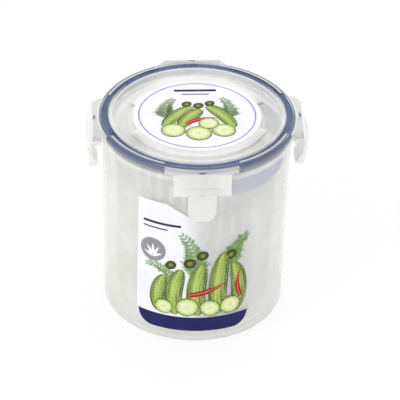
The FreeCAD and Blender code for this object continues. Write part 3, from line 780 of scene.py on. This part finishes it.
# The lid's polypropylene where it is thicker: a milky white with a gloss.
flap_plastic = moulded_plastic("polypropylene_flap", "#fbfbf8", "#f5f6f3", 0.2, 0.48)
for side, turn in SIDES.items():
    dress("flap_" + side, flap_plastic)
    strip = bmesh.new()
    rows = []
    for half in (-FILM_HALF, FILM_HALF):
        upper = [strip.verts.new((r * MM, half * MM, z * MM)) for r, z in film_line]
        lower = [strip.verts.new((r * MM, half * MM, (z - FILM_THICKNESS) * MM))
                 for r, z in reversed(film_line)]
        rows.append(upper + lower)
    count = len(rows[0])
    for i in range(count):
        after = (i + 1) % count
        strip.faces.new((rows[0][i], rows[0][after], rows[1][after], rows[1][i]))
    strip.faces.new(rows[0][::-1])
    strip.faces.new(rows[1])
    bmesh.ops.triangulate(strip, faces=strip.faces[-2:])
    bmesh.ops.recalc_face_normals(strip, faces=strip.faces)
    round_turn = Matrix.Rotation(math.radians(turn), 3, "Z")
    bmesh.ops.rotate(strip, verts=strip.verts, cent=(0, 0, 0), matrix=round_turn)
    mesh = bpy.data.meshes.new("hinge_film_" + side)
    strip.to_mesh(mesh)
    strip.free()
    mesh.materials.append(flap_plastic)
    film_piece = bpy.data.objects.new("hinge_film_" + side, mesh)
    bpy.context.scene.collection.objects.link(film_piece)
    outward = Vector((math.cos(math.radians(turn)), math.sin(math.radians(turn)), 0))
    start = outward * (hinge_r - BEND_IN) * MM
    end = outward * (hinge_r - BEND_OUT) * MM
    start.z = end.z = roll_top * MM
    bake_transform(film_piece)


# Floor and light: a large sheet of white paper in a white studio, a soft lamp high on the left and a
# smaller one behind on the right for the glints on the rim.
FLOOR_SIZE, FLOOR_DROP = 8.0, 0.1
PULP_SIZE, FLOOR_GLOW = 3, 0.88
WHITE = (1, 1, 1, 1)

bpy.ops.mesh.primitive_plane_add(size=FLOOR_SIZE, location=(0, 0, -FLOOR_DROP * MM))
floor = bpy.context.object
floor.name = "floor"
# Uncoated paper: matt, even and white, with a faint pulp that keeps it from looking flat.
paper = bpy.data.materials.new("paper")
paper.use_nodes = True
tree = paper.node_tree
tree.nodes.clear()


def seen(tree, share):
    """That share for what the camera, a mirror or glass sees, and 0 for the light that falls on things."""
    ray = add(tree, "ShaderNodeLightPath")
    glossy = add(tree, "ShaderNodeMath", {"operation": "MAXIMUM"},
                 {0: ray.outputs["Is Camera Ray"], 1: ray.outputs["Is Glossy Ray"]})
    either = add(tree, "ShaderNodeMath", {"operation": "MAXIMUM"},
                 {0: glossy.outputs[0], 1: ray.outputs["Is Transmission Ray"]})
    return add(tree, "ShaderNodeMath", {"operation": "MULTIPLY", 1: share}, {0: either.outputs[0]}).outputs[0]


fibre = add(tree, "ShaderNodeTexCoord")
pulp = add(tree, "ShaderNodeTexNoise", {"Scale": 1 / (PULP_SIZE * MM), "Detail": 2.0},
           {"Vector": fibre.outputs["Object"]})
pale = add(tree, "ShaderNodeValToRGB", {"stops": [(0.3, "#f6f6f6"), (0.7, "#f9f9f9")]},
           {0: pulp.outputs[0]})
matt = add(tree, "ShaderNodeBsdfDiffuse", {}, {"Color": pale.outputs[0]})
glow = add(tree, "ShaderNodeEmission", {"Color": WHITE, "Strength": 1.0})
sheet = add(tree, "ShaderNodeMixShader", {},
            {0: seen(tree, FLOOR_GLOW), 1: matt.outputs[0], 2: glow.outputs[0]})
add(tree, "ShaderNodeOutputMaterial", {}, {"Surface": sheet.outputs[0]})
floor.data.materials.append(paper)

world = bpy.data.worlds.new("studio")
bpy.context.scene.world = world
world.use_nodes = True
tree = world.node_tree
tree.nodes.clear()
soft = add(tree, "ShaderNodeBackground", {"Color": WHITE, "Strength": 0.99})
backdrop = add(tree, "ShaderNodeBackground", {"Color": WHITE, "Strength": 1.0})
room = add(tree, "ShaderNodeMixShader", {},
           {0: seen(tree, 1.0), 1: soft.outputs[0], 2: backdrop.outputs[0]})
add(tree, "ShaderNodeOutputWorld", {}, {"Surface": room.outputs[0]})


def softbox(name, size, power, place, target=(0, 0, 0.06)):
    """A rectangular lamp that points at the middle of the keeper."""
    light = bpy.data.lights.new(name, "AREA")
    light.shape = "RECTANGLE"
    light.size, light.size_y = size
    light.energy = power
    lamp = bpy.data.objects.new(name, light)
    bpy.context.scene.collection.objects.link(lamp)
    lamp.location = place
    lamp.rotation_euler = (Vector(target) - Vector(place)).to_track_quat("-Z", "Y").to_euler()


softbox("key", (0.35, 0.35), 3.6, (-0.8, -0.7, 1.0))
softbox("glint", (0.12, 0.12), 0.8, (0.5, 0.6, 0.7))


# Camera: a long lens from the front, 34 degrees above the floor and a little to the left. Its place,
# tilt and roll were fitted to the rim, the wall and the base as the photo shows them.
TURN = math.radians(-3.9)
TILT = 0.6000
ROLL = 0.0267
DISTANCE = 2.040
AIM = Vector((0.0026, 0.0, 0.0591))
FOCAL_PIXELS = 3889.6
FRAME_PIXELS = 400
SENSOR = 36.0
away = Vector((0, -math.cos(TILT), math.sin(TILT)))
right = Vector((1, 0, 0))
up = right.cross(-away)
across = math.cos(ROLL) * right + math.sin(ROLL) * up
upright = -math.sin(ROLL) * right + math.cos(ROLL) * up
pose = Matrix((across, upright, away)).transposed().to_4x4()
pose.translation = AIM + DISTANCE * away
camera = bpy.data.objects.new("camera", bpy.data.cameras.new("camera"))
camera.data.sensor_width = SENSOR
camera.data.lens = FOCAL_PIXELS / FRAME_PIXELS * SENSOR
camera.data.clip_start, camera.data.clip_end = 0.1, 20.0
camera.matrix_world = Matrix.Rotation(TURN, 4, "Z") @ pose
bpy.context.scene.collection.objects.link(camera)
bpy.context.scene.camera = camera
bpy.context.scene.view_settings.view_transform = "Standard"
